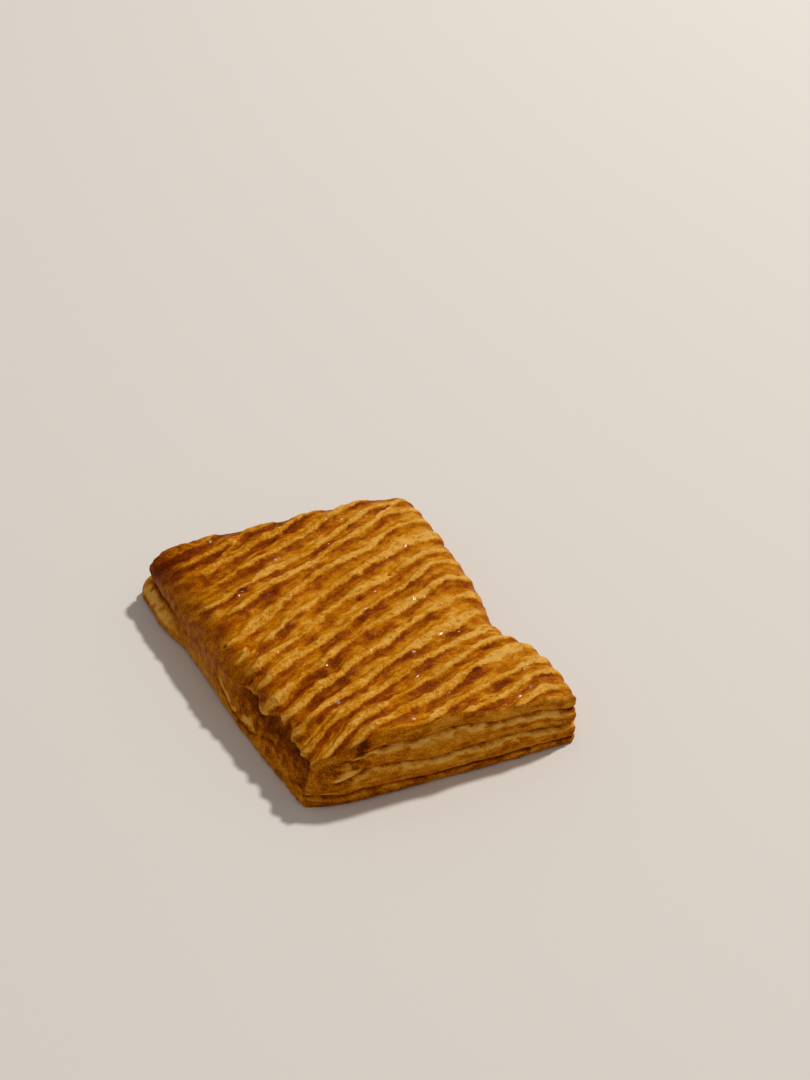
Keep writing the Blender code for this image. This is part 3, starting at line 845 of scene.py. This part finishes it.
    def finish_flow(self, crust):
        """Places for the streaks of the finish: along the ridges, the layers or the rolled side."""
        height = self.z * (2.4 - 1.4 * self.on_left)
        strata = np.stack([self.x + self.y, height, 0 * self.z + STRATA_APART], axis=1)
        flow = self.flow * crust[:, None] + strata * (1 - crust[:, None])
        side_flow = np.stack([self.y, self.z * 0.8, self.x * 0.3], axis=1)
        flow += (self.on_left * (1 - self.lip))[:, None] * (side_flow - flow)
        return flow * FLOW_STRETCH

    def shine(self, crust):
        """Where the egg wash is thick: on the given spots and on specks beside the ridges."""
        spots = in_patches(self.x, self.y, GLOSS_SPOTS)
        speckled = crumb(self.flow, SPECKLE_GRAIN)
        beside_ridge = ease(0.08, 0.14, self.off_ridge)
        shine = 1.3 * spots * ease(-0.3, 0.6, speckled) + 0.5 * beside_ridge * ease(1.6, 1.9, speckled)
        return np.clip(crust * shine, 0, 1)


def mesh_coordinates(mesh, of_normals=False):
    source = mesh.vertex_normals if of_normals else mesh.vertices
    values = np.empty(len(mesh.vertices) * 3, np.float32)
    source.foreach_get("vector" if of_normals else "co", values)
    return values.reshape(-1, 3).astype(float)


def set_mesh_coordinates(mesh, points):
    mesh.vertices.foreach_set("co", points.astype(np.float32).ravel())
    mesh.update()


def add_attribute(mesh, name, values):
    kind = "FLOAT" if values.ndim == 1 else "FLOAT_VECTOR"
    attribute = mesh.attributes.new(name, kind, "POINT")
    attribute.data.foreach_set("value" if values.ndim == 1 else "vector", values.astype(np.float32).ravel())


class Finish:
    """Builds one material: `node` adds any node, and the sockets that it gives can be calculated with."""

    def __init__(self, name):
        self.material = bpy.data.materials.new(name)
        self.material.use_nodes = True
        self.tree = self.material.node_tree
        self.shader = self.tree.nodes["Principled BSDF"]

    def node(self, kind, settings=None, output=0, **inputs):
        """Adds a node with its settings, links or sets its inputs, and gives one of its outputs."""
        made = self.tree.nodes.new(kind)
        for name, value in (settings or {}).items():
            setattr(made, name, value)
        for name, value in inputs.items():
            self.fill(made.inputs[name.replace("_", " ")], value)
        return Wire(self, made.outputs[output])

    def fill(self, socket, value):
        if isinstance(value, Wire):
            self.tree.links.new(value.socket, socket)
        else:
            socket.default_value = value

    def attribute(self, name, output="Fac"):
        return self.node("ShaderNodeAttribute", {"attribute_name": name}, output)

    def noise(self, vector, scale, detail=3.0, roughness=0.55):
        return self.node("ShaderNodeTexNoise", Vector=vector, Scale=scale, Detail=detail, Roughness=roughness)

    def mix(self, share, first, second):
        mixed = self.node("ShaderNodeMix", {"data_type": "RGBA"}, COLOUR_MIX_OUTPUT)
        for place, value in zip(COLOUR_MIX_INPUTS, (share, first, second)):
            self.fill(mixed.socket.node.inputs[place], value)
        return mixed

    def ramp(self, share, stops):
        coloured = self.node("ShaderNodeValToRGB", Fac=share)
        elements = coloured.socket.node.color_ramp.elements
        while len(elements) < len(stops):
            elements.new(1.0)
        for element, (place, colour) in zip(elements, stops):
            element.position = place
            element.color = (*colour, 1.0)
        return coloured

    def give(self, **inputs):
        for name, value in inputs.items():
            self.fill(self.shader.inputs[name.replace("_", " ")], value)


class Wire:
    """A number socket that expressions can be written with."""

    def __init__(self, finish, socket):
        self.finish = finish
        self.socket = socket

    def maths(self, operation, first, second, clamp=False):
        result = self.finish.node("ShaderNodeMath", {"operation": operation, "use_clamp": clamp})
        for socket, value in zip(result.socket.node.inputs, (first, second)):
            self.finish.fill(socket, value)
        return result

    def __add__(self, other):
        return self.maths("ADD", self, other)

    def __radd__(self, other):
        return self.maths("ADD", other, self)

    def __sub__(self, other):
        return self.maths("SUBTRACT", self, other)

    def __rsub__(self, other):
        return self.maths("SUBTRACT", other, self)

    def __mul__(self, other):
        return self.maths("MULTIPLY", self, other)

    def __rmul__(self, other):
        return self.maths("MULTIPLY", other, self)

    def clamped(self):
        return self.maths("ADD", self, 0.0, clamp=True)


def pastry_finish():
    """Baked dough: glossy brown egg wash in the hollows, pale and matte on the ridges and the cut ends."""
    finish = Finish("baked pastry")
    flow = finish.attribute("flow", output="Vector")
    place = finish.node("ShaderNodeTexCoord", output="Object")
    streaks = finish.noise(flow, STREAK_SCALE, detail=4.0, roughness=0.6) - 0.5
    specks = finish.noise(place, SPECK_SCALE, detail=2.0) - 0.5
    blotches = finish.noise(place, BLOTCH_SCALE) - 0.5
    stipple = finish.noise(place, STIPPLE_SCALE, roughness=0.7) - 0.5
    # The ridges end along a granular edge, and the same grain marks their tops.
    grains = stipple * 2.0 + specks * 0.8 + streaks * 1.4
    matte = ((0.5 - finish.attribute("off_ridge") + grains) * EDGE_SHARPNESS + 0.5).clamped()
    stippled = matte * stipple * 1.1
    uneven = streaks * 0.6 + specks * 0.8 + blotches * 0.45 + stippled
    crust_bake = finish.attribute("crust_bake") + matte * finish.attribute("ridge_bake") + uneven
    layer_bake = finish.attribute("layer_bake") + uneven * 0.95
    layer_colour = finish.ramp(layer_bake.clamped(), LAYER_STOPS)
    crust_colour = finish.ramp(crust_bake.clamped(), CRUST_STOPS)
    finish.give(
        Base_Color=finish.mix(finish.attribute("crust"), layer_colour, crust_colour),
        Roughness=(DRY_ROUGHNESS - finish.attribute("wash") * WASH_SMOOTHING + specks * 0.3).clamped(),
        Coat_Weight=finish.attribute("gloss"),
        Coat_Roughness=0.2,
        Specular_IOR_Level=0.08,
        Specular_Tint=(1.0, 0.42, 0.0, 1.0),
        IOR=1.45,
        Normal=finish.node(
            "ShaderNodeBump", Strength=1.0, Distance=BUMP_DISTANCE,
            Height=(specks + streaks + blotches) * 0.4 + stippled,
        ),
    )
    return finish.material


def make_pastry():
    mesh = box_cells()
    form = smooth_form(mesh_coordinates(mesh))
    set_mesh_coordinates(mesh, form)
    surface = Surface(form, mesh_coordinates(mesh, of_normals=True))
    points = surface.main_points()
    set_mesh_coordinates(mesh, points)
    points = surface.fine_points(points, mesh_coordinates(mesh, of_normals=True))
    set_mesh_coordinates(mesh, (points - np.array(DESIGN_CENTRE)) * MM)

    add_attribute(mesh, "crust_bake", surface.baked_crust())
    add_attribute(mesh, "layer_bake", surface.baked_ends())
    add_attribute(mesh, "ridge_bake", surface.ridge_bake)
    crust = surface.crust_share()
    add_attribute(mesh, "crust", crust)
    add_attribute(mesh, "flow", surface.finish_flow(crust))
    add_attribute(mesh, "gloss", surface.shine(crust))
    add_attribute(mesh, "wash", crust * (0.15 + 0.6 * ease(0.12, 0.22, surface.off_ridge)))
    off_ridge = np.clip((surface.off_ridge - RIDGE_HALF) / RIDGE_EDGE, 0, 2)
    add_attribute(mesh, "off_ridge", off_ridge + 2 * (1 - crust))
    mesh.materials.append(pastry_finish())
    mesh.shade_smooth()
    pastry = bpy.data.objects.new("gata_pastry", mesh)
    bpy.context.scene.collection.objects.link(pastry)
    return pastry


def make_floor():
    bm = bmesh.new()
    bmesh.ops.create_grid(bm, x_segments=2, y_segments=2, size=FLOOR_SIZE)
    mesh = bpy.data.meshes.new("floor")
    bm.to_mesh(mesh)
    bm.free()
    floor = bpy.data.objects.new("floor", mesh)
    bpy.context.scene.collection.objects.link(floor)
    finish = Finish("pale floor")
    finish.give(Base_Color=FLOOR_COLOUR, Roughness=0.8)
    mesh.materials.append(finish.material)


def make_light():
    lamp = bpy.data.lights.new("key", "AREA")
    lamp.shape = "DISK"
    lamp.size = LAMP_SIZE
    lamp.energy = LAMP_POWER
    lamp.color = LAMP_COLOUR
    key = bpy.data.objects.new("key", lamp)
    towards = Vector(LAMP_DIRECTION).normalized()
    key.location = towards * LAMP_DISTANCE
    key.rotation_mode = "QUATERNION"
    key.rotation_quaternion = towards.to_track_quat("Z", "Y")
    bpy.context.scene.collection.objects.link(key)
    world = bpy.data.worlds.new("soft light")
    world.use_nodes = True
    background = world.node_tree.nodes["Background"]
    background.inputs["Color"].default_value = SKY_COLOUR
    # The room that the gloss mirrors is darker than the light that falls from it.
    path = world.node_tree.nodes.new("ShaderNodeLightPath")
    dimmed = world.node_tree.nodes.new("ShaderNodeMapRange")
    dimmed.inputs["To Min"].default_value = SKY_STRENGTH
    dimmed.inputs["To Max"].default_value = MIRRORED_STRENGTH
    world.node_tree.links.new(path.outputs["Is Glossy Ray"], dimmed.inputs["Value"])
    world.node_tree.links.new(dimmed.outputs["Result"], background.inputs["Strength"])
    bpy.context.scene.world = world


def make_camera():
    camera = bpy.data.cameras.new("camera")
    camera.lens = LENS_MM
    camera.sensor_width = SENSOR_MM
    camera.clip_start = NEAREST_SEEN
    viewer = bpy.data.objects.new("camera", camera)
    right = Vector(CAMERA_RIGHT).normalized()
    up = (Vector(CAMERA_UP) - right * right.dot(Vector(CAMERA_UP))).normalized()
    turn = Matrix((right, up, right.cross(up))).transposed()
    viewer.matrix_world = Matrix.Translation(CAMERA_PLACE) @ turn.to_4x4()
    bpy.context.scene.collection.objects.link(viewer)
    bpy.context.scene.camera = viewer


bpy.context.scene.view_settings.view_transform = "Standard"
make_camera()
make_light()
make_floor()
pastry = make_pastry()
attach(pastry, "root")
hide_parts("gata")
